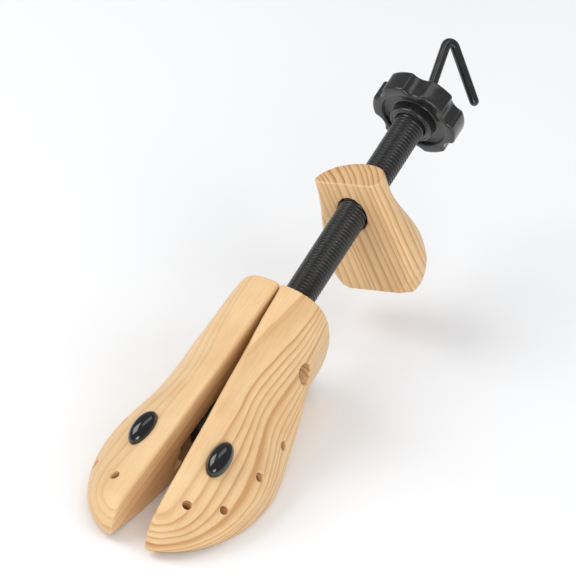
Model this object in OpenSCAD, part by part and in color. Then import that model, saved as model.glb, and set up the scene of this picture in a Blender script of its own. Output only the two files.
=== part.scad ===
// Two-way wooden shoe stretcher: a split toe block, a heel block that travels on a
// threaded tube, and a hooked rod that draws a wedge between the two toe halves.
// +Z up, the toe points along -Y, the toe block is split on x = 0 and rests on z = 0.
// The right half is the one on +X.
// "Along the tube" is measured from the toe block's heel face, positive towards the wheel.

/* [Tube and axis] */
// Slope of the tube above the sole, degrees
slope = 20; // [19:0.5:21]
// Height of the tube axis above the sole at the toe block's heel face
axis_z = 43.5; // [43:0.5:45]
// Distance from the origin forward to the heel face on the tube axis
face_back = 12.68; // [5:0.01:20]
// Outside diameter of the threaded tube
tube_d = 16; // [15:0.1:16]
// Bore of the threaded tube
tube_bore = 10; // [9:0.1:11]
// Whole length of the tube
tube_len = 146; // [140:1:150]
// Clearance of running fits, radial
run_c = 0.05; // [0.02:0.01:0.08]

/* [Toe block] */
// Length of the toe block, heel face to tip
toe_len = 152; // [148:1:156]
// Widest half width of one toe half
toe_half_w = 36.2; // [34:0.1:38]
// Opening of each toe half from closed, degrees
open_deg = 3.3; // [0:0.1:6]
// Diameter of the peg holes
peg_d = 4.6; // [4.2:0.1:5]
// Depth of the peg holes
peg_depth = 12; // [8:1:14]
// Diameter of the counterbores for the cross bolt
cross_d = 10.5; // [10:0.1:12]

/* [Heel block] */
// Distance of the heel block's front face along the tube
heel_at = 71.5; // [60:0.5:80]
// Turn of the heel block about the tube, degrees
heel_roll = -24; // [-30:1:0]
// Slant of the bore to the heel block's front face, degrees
heel_slant = 16; // [12:1:20]
// Height of the heel block above the tube axis
heel_up = 17.5; // [15:0.5:20]
// Depth of the heel block below the tube axis
heel_down = 44; // [40:0.5:48]

/* [Hand wheel and hook] */
// Outside diameter of the scalloped hand wheel
wheel_d = 46; // [42:1:50]
// Thickness of the hand wheel's rim
wheel_t = 12.5; // [10:0.5:14]
// Number of lobes on the wheel
lobes = 6; // [5:1:8]
// Diameter of the hook rod
rod_d = 5; // [4.5:0.1:5.5]
// Straight part of the rod behind the wheel
hook_straight = 4; // [3:0.5:10]
// Length of the outer leg of the hook
hook_leg = 29.5; // [20:0.5:32]
// Length of the returning leg of the hook
hook_return = 28.5; // [18:0.5:30]
// Centreline radius of the hook's top bend
hook_r = 3.2; // [3:0.1:9]
// Turn of the hook about the tube, degrees
hook_turn = -43; // [-180:1:180]

/* [Colours] */
// Colour of the wood
wood_colour = "burlywood"; // [burlywood, tan, wheat]
// Colour of the plastic parts
black_colour = "#1c1c1e"; // ["#1c1c1e", "#303030"]

/* [Hidden] */
$fn = 48;
eps = 0.01;

// Places along the tube
tube_front = -8;
tube_end = tube_front + tube_len;
rod_front = -92;
rod_clip_at = -9.2;
CLIPS_AT = [2, 9.7];  // front faces of the two tube clips, one each side of the yoke
clip_t = 0.8;
bush_len = 10;

// Hinge: the pin stands square to the tube; heights are from the tube axis
pin_along = 2.6;
pin_r = 1.5;
pin_len = 30;
pin_top = -10.5;
knuckle_r = 2.9;
plate_t = 1.2;
screw_x = 10;
SCREW_HEIGHTS = [-35, -17];
screw_r = 1.25;

// Wedge
wedge_len = 24;
wedge_h = 14;
wedge_back = -66 + 20 * open_deg / 6;   // heel end, along the tube
wedge_heel_w = 4.3;   // half width at the heel end
wedge_toe_w = 8.8;    // half width at the toe end
wedge_gap = 0.8;      // gap above and below the wedge in its pocket

// Cross bolt
cross_along = -30;
cross_up = 9;         // above the tube axis
cross_skew = 1;       // the bores sit this far towards the toe when closed, so the swing is shared
bolt_r = 2;
bolt_half = 17.2;     // split to the seat of the head, and of the nut
bolt_nut_t = 2.6;
washer_t = 0.8;
spring_from = 11.95;  // inner end of each sleeve, clear of the halves when fully open
spring_gap = 0.02;

// Hand wheel
wheel_at = 136;       // front of the rim, along the tube
hub_r = 11.5;
hub_front = -3;       // front of the hub, from the front of the rim
rear_dish = 2;        // depth of the dish in the wheel's back
wheel_floor = wheel_at + wheel_t - rear_dish;
wheel_pin_at = -1.5;  // from the front of the rim
wheel_pin_r = 1;
WHEEL_PIN_TURNS = [90, 270];

// Heel nut and its seat in the heel block
heel_nut_at = heel_at + 6;
heel_nut_len = 12;
heel_nut_r = 10.5;

// ---- frames ----
// moves the origin to below the meeting of heel face and tube axis
module closed_frame() { translate([0, -face_back, 0]) children(); }
// inside the closed frame: +Y along the tube, +Z square to it, heel face at y = 0
module tube_frame() { translate([0, 0, axis_z]) rotate([slope, 0, 0]) children(); }
module on_face() { closed_frame() tube_frame() children(); }
// +Z along the tube, +Y up across it and the heel face at z = 0
module on_tube() {
    translate([0, -face_back, axis_z]) rotate([slope - 90, 0, 0]) rotate([0, 0, 180]) children();
}
// swings a piece of the closed right half open about the hinge pin; side -1 mirrors it to the left
module on_side(side) {
    mirror([side < 0 ? 1 : 0, 0, 0])
        on_face() translate([0, pin_along, 0]) rotate([0, 0, open_deg])
            translate([0, -pin_along, 0]) rotate([-slope, 0, 0]) translate([0, 0, -axis_z])
                children();
}
module both_sides() { for (flip = [0, 1]) mirror([flip, 0, 0]) children(); }

// ---- cylinders and rings ----
module ring(outer, inner, height) {
    difference() {
        cylinder(r = outer, h = height);
        translate([0, 0, -1]) cylinder(r = inner, h = height + 2);
    }
}
module along(start, length, radius) {
    on_tube() translate([0, 0, start]) cylinder(r = radius, h = length);
}
module ring_along(start, length, outer, inner) {
    on_tube() translate([0, 0, start]) ring(outer, inner, length);
}
// the next four are drawn inside tube_frame()
module lengthwise(start, length, radius) {
    translate([0, start, 0]) rotate([-90, 0, 0]) cylinder(r = radius, h = length);
}
module on_pin(start, length, radius) {
    translate([0, pin_along, start]) cylinder(r = radius, h = length);
}
// +Z across the split, on the cross bolt's axis
module crosswise(x, at = cross_along) {
    translate([x, at, cross_up]) rotate([0, 90, 0]) children();
}
// +Z towards the wheel, from the heel face
module at_screws() {
    for (z = SCREW_HEIGHTS) translate([screw_x, 0, z]) rotate([-90, 0, 0]) children();
}

// skins a list of rings that all have the same number of points
module loft(rings) {
    last = len(rings) - 1;
    count = len(rings[0]);
    polyhedron(
        points = [for (outline = rings) each outline],
        faces = concat(
            [[for (j = [count - 1:-1:0]) j]],
            [for (i = [0:last - 1]) for (j = [0:count - 1])
                let (here = i * count + j, next = i * count + (j + 1) % count)
                each [[next, here + count, here], [next + count, here + count, next]]],
            [[for (j = [0:count - 1]) last * count + j]]),
        convexity = 6);
}

// ---- toe block's shape: fore is the distance forward of the heel face on the tube axis ----
function unit(x) = min(max(x, 0), 1);
function ease(from, to, x) = let (share = unit((x - from) / (to - from)))
    share * share * (3 - 2 * share);
// half width: eases from heel_w out to full_w at widest, then rounds in to the tip
function half_w(fore, heel_w, full_w, widest, power) = fore < widest
    ? heel_w + (full_w - heel_w) * ease(0, widest, fore)
    : full_w * pow(1 - pow(unit((fore - widest) / (toe_len - widest)), 2), power);
function sole_w(fore) = half_w(fore, 15.5, toe_half_w, 86, 0.56);
function mid_w(fore) = half_w(fore, 25, toe_half_w - 0.1, 88, 0.55);
// underside, with a little lift at the heel face and at the toe
function sole_z(fore) = 8 * pow(max(0, (20 - fore) / 35), 2)
    + 5 * pow(max(0, (fore - 100) / 52), 2);
// bottom of a section, lowered so that z = 0 cuts the sole flat
function base_z(fore) = sole_z(fore) - 1.3;
// ridge line, rounded down over the last nose_len to the tip
nose_len = 12;
function ridge_z(fore) = 76.7 - 0.389 * fore;
function nose_z(fore) = fore > toe_len - nose_len
    ? sole_z(fore) + (ridge_z(fore) - sole_z(fore))
        * sqrt(max(0, 1 - pow((fore - toe_len + nose_len) / nose_len, 2.8)))
    : ridge_z(fore);
function top_z(fore) = max(nose_z(fore), base_z(fore) + 1.6);
// height of the widest place
function wide_z(fore) = min(48 - 37 * ease(-5, 72, fore) - 4 * ease(90, 140, fore),
    base_z(fore) + 0.6 * (top_z(fore) - base_z(fore)));
// exponent of the superellipse above the widest place
function crown(fore) = 2.5 - 1.02 * ease(-5, 70, fore) + 0.5 * ease(110, 150, fore);

// one cross section of the closed right half
function toe_ring(fore) =
    let (mid = mid_w(fore), sole = sole_w(fore), base = base_z(fore), top = top_z(fore),
         wide = wide_z(fore), power = 2 / crown(fore), steps = 14,
         round_r = min(3, 0.3 * (top - base), 0.3 * sole),
         split_drop = min(2.2, 0.2 * (top - base), mid * 0.25))
    concat(
        // split face
        [[0, -fore, base], [0, -fore, top - split_drop]],
        // crown, from the split out to the widest place
        [for (i = [1:steps]) let (turn = 90 * (1 - i / steps))
            [mid * pow(cos(turn), power), -fore, wide + (top - wide) * pow(sin(turn), power)]],
        // flank
        [for (i = [1:3]) let (share = i / 4)
            [mid + (sole - mid) * pow(share, 1.6), -fore, wide + (base + round_r - wide) * share]],
        // rounded edge of the sole
        [for (i = [0:3]) let (turn = 30 * i)
            [sole - round_r + round_r * cos(turn), -fore, base + round_r - round_r * sin(turn)]]);
// stations along the block, closer together at the tip
tip_from = 132;
STATIONS = concat([for (fore = [-24:6:tip_from]) fore],
    [for (i = [1:8]) tip_from + (toe_len - 0.8 - tip_from) * sin(90 * i / 8)]);

// ---- peg holes ----
// [fore, place across the half as a share of its width]; the third is lower on the left flank
function pegs(side) =
    [[103.5, 0.42], [132, 0.48], [119.5, side < 0 ? 0.96 : 0.85], [91.5, 0.88], [64, 0.93]];
function crown_h(fore) = top_z(fore) - wide_z(fore);
// height at that place, as a share of the crown's height
function peg_rise(fore, share) = pow(1 - pow(share, crown(fore)), 1 / crown(fore));
function peg_z(fore, share) = wide_z(fore) + crown_h(fore) * peg_rise(fore, share);
// outward tilt and forward pitch of the surface there
function peg_tilt(fore, share) = let (power = crown(fore) - 1)
    atan2(pow(share, power) / mid_w(fore), pow(peg_rise(fore, share), power) / crown_h(fore));
function peg_pitch(fore, share) = atan((peg_z(fore - 2, share) - peg_z(fore + 2, share)) / 4);
// +Z out of the surface
module at_peg(peg) {
    fore = peg[0];
    share = peg[1];
    translate([mid_w(fore) * share, -fore, peg_z(fore, share)])
        rotate([peg_pitch(fore, share), 0, 0]) rotate([0, peg_tilt(fore, share), 0]) children();
}

// ---- toe halves ----
// everything cut out of the closed right half
module toe_cuts(side) {
    tube_frame() {
        // heel face, square to the tube
        translate([-60, 0, -90]) cube([120, 60, 180]);
        // bore for the end of the tube, and a narrower one for the rod
        lengthwise(-11, 20, tube_d / 2 + 0.9);
        lengthwise(-100, 110, rod_d / 2 + 0.9);
        // seat of the rod's clip
        lengthwise(-17, 10, 6.4);
        // ramped pocket for the wedge
        translate([0, 0, -wedge_h / 2 - wedge_gap]) linear_extrude(wedge_h + 2 * wedge_gap)
            polygon([[-1, -50], [0, -50], [4.6, -66], [9.3, -91], [9.3, -93], [-1, -93]]);
        // cross bolt: clearance hole and counterbore from the flank
        crosswise(-1, cross_along - cross_skew) cylinder(r = bolt_r + 1.5, h = 60);
        crosswise(8, cross_along - cross_skew) cylinder(d = cross_d, h = 60);
        // recess for the hinge leaf and its screws
        translate([-1, -1.4, -40]) cube([15.5, 10, 32.5]);
        at_screws() translate([0, 0, -9.5]) cylinder(r = screw_r, h = 20);
    }
    for (peg = pegs(side)) at_peg(peg)
        translate([0, 0, -peg_depth]) cylinder(d = peg_d, h = peg_depth + 20);
}
module toe_half(side) {
    difference() {
        on_side(side) loft([for (fore = STATIONS) toe_ring(fore)]);
        on_side(side) toe_cuts(side);
        // flat sole
        translate([-100, -250, -50]) cube([200, 500, 50]);
    }
}
module toe_half_right() { color(wood_colour) toe_half(1); }
module toe_half_left() { color(wood_colour) toe_half(-1); }

// bunion plug: an oval dome on a round stem
module plug() {
    at_peg(pegs(1)[0]) {
        translate([0, 0, -10.5]) cylinder(r = peg_d / 2 - 0.06, h = 11.2);
        translate([0, 0, 0.5]) intersection() {
            scale([5.6, 10.5, 5.2]) sphere(r = 1, $fn = 32);
            translate([-20, -20, 0]) cube([40, 40, 20]);
        }
    }
}
module bunion_plug_right() { color(black_colour) on_side(1) plug(); }
module bunion_plug_left() { color(black_colour) on_side(-1) plug(); }

// ---- hinge ----
// leaf of the right half: plate let into the heel face, with knuckles [bottom, height]
module leaf(knuckles) {
    web_x = 0.3;
    tube_frame() difference() {
        union() {
            translate([1.7, -plate_t, -39]) cube([12.3, plate_t, 27]);
            for (knuckle = knuckles) {
                on_pin(knuckle[0], knuckle[1], knuckle_r);
                translate([web_x, -plate_t, knuckle[0]]) cube([knuckle_r - web_x, 3.7, knuckle[1]]);
            }
        }
        on_pin(-60, 60, pin_r + run_c);
        at_screws() translate([0, 0, -5]) cylinder(r = 1.3, h = 10);
        // nothing in front of the heel face lies across the split
        translate([-20, -6, -50]) cube([20.2, 6, 60]);
    }
}
module hinge_leaf_right() { color("silver") on_side(1) leaf([[-33.3, 5], [-22.3, 5]]); }
module hinge_leaf_left() { color("silver") on_side(-1) leaf([[-39, 5.2], [-27.8, 5]]); }

module screws() {
    shank_len = 9;
    tube_frame() at_screws() {
        cylinder(r1 = 2.3, r2 = 1.7, h = 1.1);
        translate([0, 0, -shank_len]) cylinder(r = screw_r, h = shank_len + eps);
    }
}
module hinge_screws_right() { color("silver") on_side(1) screws(); }
module hinge_screws_left() { color("silver") on_side(-1) screws(); }

// yoke: a collar the tube turns in, and a knuckle for the hinge pin
module pivot_yoke() {
    yoke_at = 3.2;
    yoke_len = 6;
    color("silver") on_face() difference() {
        union() {
            lengthwise(yoke_at, yoke_len, 11.5);
            on_pin(-16.6, 6.6, knuckle_r);
            translate([-2.5, yoke_at, -13.6]) cube([5, yoke_len, 5]);
        }
        lengthwise(-5, 30, tube_d / 2 + run_c);
        on_pin(-60, 60 + pin_top, pin_r);
    }
}
module hinge_pin() {
    color("silver") on_face() {
        on_pin(pin_top - pin_len, pin_len, pin_r);
        // head at the bottom
        on_pin(pin_top - pin_len - 1, 1.5, 2.4);
    }
}

// ---- cross bolt: head in the right counterbore, nut in the left ----
module cross_bolt() {
    color("dimgray") on_face() crosswise(0) {
        translate([0, 0, -bolt_half - bolt_nut_t]) cylinder(r = bolt_r, h = 2 * bolt_half + bolt_nut_t);
        translate([0, 0, bolt_half]) cylinder(r = 3.4, h = 2.4);
    }
}
module cross_nut() {
    color("dimgray") on_face() crosswise(-bolt_half - bolt_nut_t) difference() {
        cylinder(r = 3.8, h = bolt_nut_t, $fn = 6);
        translate([0, 0, -1]) cylinder(r = bolt_r, h = bolt_nut_t + 2);
    }
}
module bolt_washers() {
    color("silver") both_sides() on_face() crosswise(bolt_half - washer_t)
        ring(4, bolt_r + run_c, washer_t);
}
// springs as plain sleeves
module return_springs() {
    color("gray") both_sides() on_face() crosswise(spring_from)
        ring(3.6, 2.9, bolt_half - washer_t - spring_from - spring_gap);
}

// ---- threaded tube ----
module threaded_tube() {
    color(black_colour) difference() {
        along(tube_front, tube_len, tube_d / 2);
        along(tube_front - 1, tube_len + 2, tube_bore / 2);
        // grooves of the two clips
        for (at = CLIPS_AT) ring_along(at - 0.1, clip_t + 0.2, 12, tube_d / 2 - 0.8);
    }
}
module tube_clips() {
    color("silver") for (at = CLIPS_AT) ring_along(at, clip_t, 9.6, tube_d / 2 - 0.75);
}

// ---- hand wheel ----
module hand_wheel() {
    socket_from = hub_front - 1;
    color(black_colour) on_tube() translate([0, 0, wheel_at]) difference() {
        union() {
            cylinder(r = wheel_d / 2, h = wheel_t);
            translate([0, 0, hub_front]) cylinder(r = hub_r, h = 4);
        }
        // scallops between the lobes
        for (i = [0:lobes - 1]) rotate([0, 0, 360 / lobes * (i + 0.5)])
            translate([wheel_d / 2 + 4.2, 0, -1]) cylinder(r = 7, h = wheel_t + 2);
        // dished front and back
        translate([0, 0, -eps]) ring(17.5, hub_r, 3);
        translate([0, 0, wheel_t - rear_dish]) cylinder(r = 15, h = 3);
        // socket for the tube, then the rod hole
        translate([0, 0, socket_from])
            cylinder(r = tube_d / 2, h = tube_end - wheel_at - socket_from);
        translate([0, 0, socket_from]) cylinder(r = rod_d / 2 + 0.3, h = 30);
        for (turn = WHEEL_PIN_TURNS) rotate([0, 0, turn])
            translate([0, 0, wheel_pin_at]) rotate([0, 90, 0]) cylinder(r = wheel_pin_r, h = 14);
    }
}
// pins through the hub, standing a little proud of it
module wheel_pins() {
    color("silver") on_tube() translate([0, 0, wheel_at + wheel_pin_at])
        for (turn = WHEEL_PIN_TURNS) rotate([0, 0, turn])
            translate([tube_d / 2, 0, 0]) rotate([0, 90, 0])
                cylinder(r = wheel_pin_r, h = hub_r - tube_d / 2 + 0.6);
}

// ---- hook rod: a straight rod, a slight bend, a leg, the top bend and the returning leg ----
lean = 13.5;          // lean of the leg away from the tube axis
turn_back = 135;      // turn of the top bend
lean_r = 12;          // radius of the slight bend where the leg leaves the axis
hook_at = wheel_floor + hook_straight;
// The hook lies in one plane, with points [across, along the tube].
// Heading 0 runs along the tube, and positive headings turn towards the returning leg.
function lean_at(turn) = [-lean_r + lean_r * cos(turn), lean_r * sin(turn)];
leg_end = lean_at(lean) + hook_leg * [-sin(lean), cos(lean)];
bend_centre = leg_end + hook_r * [cos(lean), sin(lean)];
function bend_at(heading) = bend_centre + hook_r * [-cos(heading), sin(heading)];
return_heading = turn_back - lean;
function return_at(length) = bend_at(return_heading)
    + length * [sin(return_heading), cos(return_heading)];
// centreline: [point, heading, share of the full radius]
HOOK = concat(
    [[[0, -1.5], 0, 1]],
    [for (i = [0:3]) let (turn = lean * i / 3) [lean_at(turn), -turn, 1]],
    [for (i = [0:14]) let (heading = -lean + turn_back * i / 14) [bend_at(heading), heading, 1]],
    // domed end
    [for (i = [0:4]) let (turn = 85 * i / 4)
        [return_at(hook_return + rod_d / 2 * sin(turn)), return_heading, cos(turn)]]);
function hook_ring(point, heading, radius) = [for (i = [0:19]) let (turn = 18 * i)
    [point[0] + radius * cos(turn) * cos(heading),
     point[1] - radius * cos(turn) * sin(heading),
     radius * sin(turn)]];
module hook_rod() {
    color(black_colour) {
        along(rod_front, hook_at - rod_front, rod_d / 2);
        on_tube() rotate([0, 0, 180 - hook_turn]) translate([0, 0, hook_at]) rotate([90, 0, 0])
            loft([for (stop = HOOK) hook_ring(stop[0], stop[1], (rod_d / 2 - 0.02) * stop[2])]);
    }
}

// ---- parts on the rod ----
module rod_bush(start) { ring_along(start, bush_len, tube_bore / 2, rod_d / 2 + run_c); }
module rod_bush_front() { color("white") rod_bush(tube_front); }
module rod_bush_rear() { color("white") rod_bush(tube_end - bush_len); }
module rod_collar() { color("dimgray") ring_along(wheel_floor + 0.1, 3.2, 5, rod_d / 2); }
module rod_clip() { color("silver") ring_along(rod_clip_at, clip_t, 4.6, rod_d / 2); }
module spreader_wedge() {
    color(black_colour) difference() {
        on_face() translate([0, wedge_back, -wedge_h / 2]) linear_extrude(wedge_h)
            polygon([[-wedge_heel_w, 0], [wedge_heel_w, 0],
                [wedge_toe_w, -wedge_len], [-wedge_toe_w, -wedge_len]]);
        along(-120, 120, rod_d / 2 + run_c);
    }
}

// ---- heel block: flat towards the toe, rounded behind ----
heel_h = heel_up + heel_down;
function down(z) = (heel_up - z) / heel_h;    // 0 at the top, 1 at the bottom
function heel_half_w(z) = 20 + 6.5 * ease(0.05, 0.75, down(z))
    - 4.5 * pow(max(0, (down(z) - 0.82) / 0.18), 1.6);
function heel_depth(z) = 20 + 11 * ease(0.15, 0.7, down(z))
    - 5 * pow(max(0, (down(z) - 0.75) / 0.25), 2);
function heel_ring(z) =
    let (wide = heel_half_w(z), side_y = 2.5, steps = 22,
         flat = wide - 3 - 4 * max(0, (down(z) - 0.84) / 0.16))
    concat([[-flat, 0, z]],
        [for (i = [0:steps]) let (turn = -90 + 180 * i / steps)
            [wide * sin(turn), side_y + (heel_depth(z) - side_y) * pow(max(cos(turn), 0), 0.85), z]],
        [[flat, 0, z]]);
module heel_block() {
    layers = 18;
    color(wood_colour) difference() {
        on_face() translate([0, heel_at, 0]) rotate([0, heel_roll, 0]) rotate([-heel_slant, 0, 0])
            loft([for (i = [0:layers]) heel_ring(heel_up - heel_h * i / layers)]);
        along(heel_at - 30, 90, tube_d / 2 + 0.7);
        along(heel_nut_at, heel_nut_len, heel_nut_r);
    }
}
module heel_nut() {
    color("gold") ring_along(heel_nut_at, heel_nut_len, heel_nut_r, tube_d / 2 + run_c);
}

toe_half_left();
toe_half_right();
hinge_leaf_left();
hinge_leaf_right();
hinge_screws_left();
hinge_screws_right();
bunion_plug_left();
bunion_plug_right();
pivot_yoke();
hinge_pin();
cross_bolt();
cross_nut();
bolt_washers();
return_springs();
threaded_tube();
tube_clips();
hand_wheel();
wheel_pins();
rod_bush_front();
rod_bush_rear();
hook_rod();
rod_collar();
rod_clip();
spreader_wedge();
heel_block();
heel_nut();
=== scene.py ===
# A pine shoe stretcher: a toe block split into two hinged halves, a threaded tube rising
# from it through a heel block to a scalloped hand wheel, and a rod down the bore that ends
# in a hook. X runs across, the toe points to -Y, Z is up and the floor lies just under
# z = 0. Lengths are in mm and angles in degrees until MM turns them into metres.
from math import acos, atan, atan2, cos, degrees, pi, radians, sin, sqrt

import bmesh
import bpy
import numpy as np
from mathutils import Matrix, Vector, noise
from mathutils.bvhtree import BVHTree


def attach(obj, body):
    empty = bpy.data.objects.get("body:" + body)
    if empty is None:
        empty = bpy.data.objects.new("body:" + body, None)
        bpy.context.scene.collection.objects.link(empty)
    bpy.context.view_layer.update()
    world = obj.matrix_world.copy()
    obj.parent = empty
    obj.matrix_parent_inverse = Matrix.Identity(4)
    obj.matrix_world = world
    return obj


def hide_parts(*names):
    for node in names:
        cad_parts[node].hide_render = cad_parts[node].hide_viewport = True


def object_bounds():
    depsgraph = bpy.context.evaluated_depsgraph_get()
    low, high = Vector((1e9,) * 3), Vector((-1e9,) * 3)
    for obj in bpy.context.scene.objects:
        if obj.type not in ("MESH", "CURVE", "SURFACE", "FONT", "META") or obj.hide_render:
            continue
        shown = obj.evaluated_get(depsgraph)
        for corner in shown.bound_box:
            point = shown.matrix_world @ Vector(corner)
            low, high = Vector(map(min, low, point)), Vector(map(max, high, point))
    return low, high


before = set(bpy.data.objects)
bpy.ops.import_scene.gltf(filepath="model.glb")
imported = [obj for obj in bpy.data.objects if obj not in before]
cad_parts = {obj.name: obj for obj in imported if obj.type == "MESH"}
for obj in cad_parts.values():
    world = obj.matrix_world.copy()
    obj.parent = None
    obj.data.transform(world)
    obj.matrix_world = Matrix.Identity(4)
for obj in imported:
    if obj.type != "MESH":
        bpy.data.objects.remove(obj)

MM = 0.001
CAD_BOX = [list(corner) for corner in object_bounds()]

# ---------------------------------------------------------------- driving dimensions
SLOPE = 20.0                    # rise of the tube towards the heel
AXIS_Z, FACE = 43.5, 12.68      # tube axis at the toe block's rear face: height, and -Y
OPEN, PIN_AT = 3.3, 2.6         # swing of each toe half, and its pin's place along the tube
TOE_LEN, HALF_W = 152.0, 36.2
NOSE = 12                       # length of the rounding at the toe's tip
CROSS_AT, CROSS_UP = -30.0, 9.0         # cross bolt: along the tube, and off its axis
CROSS_SKEW = 1.0
TUBE_R, BORE_R, ROD_R = 8.0, 5.0, 2.5
WHEEL_AT, WHEEL_T, LOBES = 136.0, 12.5, 6
WHEEL_BACK = WHEEL_AT + WHEEL_T
HEEL_AT, HEEL_ROLL, HEEL_SLANT = 71.5, -24.0, 16.0
HEEL_UP, HEEL_DOWN = 17.5, 44.0
# peg holes: mm forward of the rear face, then share of the half width, right and left
PEGS = [(103.5, 0.42, 0.42), (132, 0.48, 0.48), (119.5, 0.85, 0.96), (91.5, 0.88, 0.88),
        (64, 0.93, 0.93)]
PEG_R, PEG_DEPTH = 2.3, 12.0


# ---------------------------------------------------------------- placing frames
def shift(x, y, z):
    matrix = np.eye(4)
    matrix[:3, 3] = (x, y, z)
    return matrix


def turn(axis, angle):
    c, s = cos(radians(angle)), sin(radians(angle))
    matrix = np.eye(4)
    i, j = {"x": (1, 2), "y": (2, 0), "z": (0, 1)}[axis]
    matrix[i, i] = matrix[j, j] = c
    matrix[j, i] = s
    matrix[i, j] = -s
    return matrix


def put(matrix, pts):
    pts = np.asarray(pts, float).reshape(-1, 3)
    return pts @ matrix[:3, :3].T + matrix[:3, 3]


ORIGIN = shift(0, -FACE, AXIS_Z)
SEAT = ORIGIN @ turn("x", SLOPE)                             # +Y along the tube
TUBE = ORIGIN @ turn("x", SLOPE - 90) @ turn("z", 180)       # +Z along the tube
CLOSED = shift(0, 0, AXIS_Z) @ turn("x", SLOPE)              # +Y along the tube, in a closed half
SWING = (SEAT @ shift(0, PIN_AT, 0) @ turn("z", OPEN) @ shift(0, -PIN_AT, 0)
         @ turn("x", -SLOPE) @ shift(0, 0, -AXIS_Z))         # a closed half to its open place
HEEL = SEAT @ shift(0, HEEL_AT, 0) @ turn("y", HEEL_ROLL) @ turn("x", -HEEL_SLANT)
Z_TO_X, Z_TO_Y = turn("y", 90), turn("x", -90)


def sided(side, matrix):
    """The frame itself on the right (+X), its mirror image on the left."""
    return matrix if side > 0 else np.diag([-1.0, 1, 1, 1]) @ matrix


# ---------------------------------------------------------------- mesh helpers
def make(name, pts, faces, smooth=True):
    mesh = bpy.data.meshes.new(name)
    mesh.from_pydata([tuple(p) for p in np.asarray(pts, float) * MM], [], faces)
    mesh.validate()
    mesh.polygons.foreach_set("use_smooth", [smooth] * len(mesh.polygons))
    mesh.update()
    ob = bpy.data.objects.new(name, mesh)
    bpy.context.scene.collection.objects.link(ob)
    return ob


def full_turn(count):
    return np.linspace(0, 2 * np.pi, count, endpoint=False)


def oval(angles, x_radius, y_radius, z):
    return np.c_[x_radius * np.cos(angles), y_radius * np.sin(angles), np.full(len(angles), z)]


def circle(angles, radius, z):
    return oval(angles, radius, radius, z)


def arc(centre, radius, angles):
    return np.asarray(centre) + radius * np.c_[np.cos(angles), np.sin(angles)]


def respace(outline, corner, before, after):
    """Even points round a closed outline: `before` of them up to the corner, then `after`."""
    loop = np.vstack([outline, outline[:1]])
    run = np.r_[0, np.cumsum(np.hypot(*np.diff(loop, axis=0).T))]
    stops = np.r_[np.linspace(0, run[corner], before, endpoint=False),
                  np.linspace(run[corner], run[-1], after, endpoint=False)]
    return np.interp(stops, run, loop[:, 0]), np.interp(stops, run, loop[:, 1])


def skin(rings, closed_path=False):
    """Quads between rings of equal length, with end caps unless the path closes on itself."""
    count, size = len(rings), len(rings[0])
    pts = np.concatenate([np.asarray(ring, float) for ring in rings])
    faces = []
    for i in range(count if closed_path else count - 1):
        here, there = i * size, ((i + 1) % count) * size
        for j in range(size):
            k = (j + 1) % size
            faces.append((here + j, here + k, there + k, there + j))
    if not closed_path:
        faces.append(tuple(range(size - 1, -1, -1)))
        faces.append(tuple(range((count - 1) * size, count * size)))
    return pts, faces


def outward(ob):
    work = bmesh.new()
    work.from_mesh(ob.data)
    bmesh.ops.recalc_face_normals(work, faces=work.faces)
    if work.calc_volume(signed=True) < 0:
        bmesh.ops.reverse_faces(work, faces=work.faces)
    work.to_mesh(ob.data)
    work.free()
    ob.data.update()
    return ob


def solid(name, matrix, rings, closed_path=False):
    pts, faces = skin([put(matrix, ring) for ring in rings], closed_path)
    return outward(make(name, pts, faces))


def apply_modifiers(ob):
    graph = bpy.context.evaluated_depsgraph_get()
    mesh = bpy.data.meshes.new_from_object(
        ob.evaluated_get(graph), preserve_all_data_layers=False, depsgraph=graph)
    old = ob.data
    ob.modifiers.clear()
    ob.data = mesh
    bpy.data.meshes.remove(old)


def cut(ob, cutters):
    for cutter in cutters:
        outward(cutter)
        boolean = ob.modifiers.new("cut", "BOOLEAN")
        boolean.operation = "DIFFERENCE"
        boolean.object = cutter
        boolean.solver = "MANIFOLD"
        apply_modifiers(ob)
    for cutter in cutters:
        mesh = cutter.data
        bpy.data.objects.remove(cutter)
        bpy.data.meshes.remove(mesh)


def prism(matrix, outline, start, end):
    pts, faces = skin([[(x, y, z) for x, y in outline] for z in (start, end)])
    return make("cutter", put(matrix, pts), faces, smooth=False)


def cylinder(matrix, radius, start, end, count=64):
    return prism(matrix, circle(full_turn(count), radius, 0)[:, :2], start, end)


def box(matrix, low, high):
    (x0, y0, z0), (x1, y1, z1) = low, high
    pts = [(x, y, z) for z in (z0, z1) for x, y in ((x0, y0), (x1, y0), (x1, y1), (x0, y1))]
    faces = [(3, 2, 1, 0), (4, 5, 6, 7), (0, 1, 5, 4), (1, 2, 6, 5), (2, 3, 7, 6), (3, 0, 4, 7)]
    return make("cutter", put(matrix, pts), faces, smooth=False)


def read_points(mesh):
    pts = np.zeros(len(mesh.vertices) * 3)
    mesh.vertices.foreach_get("co", pts)
    return pts.reshape(-1, 3)


def write_points(mesh, pts):
    mesh.vertices.foreach_set("co", pts.ravel())
    mesh.update()


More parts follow.
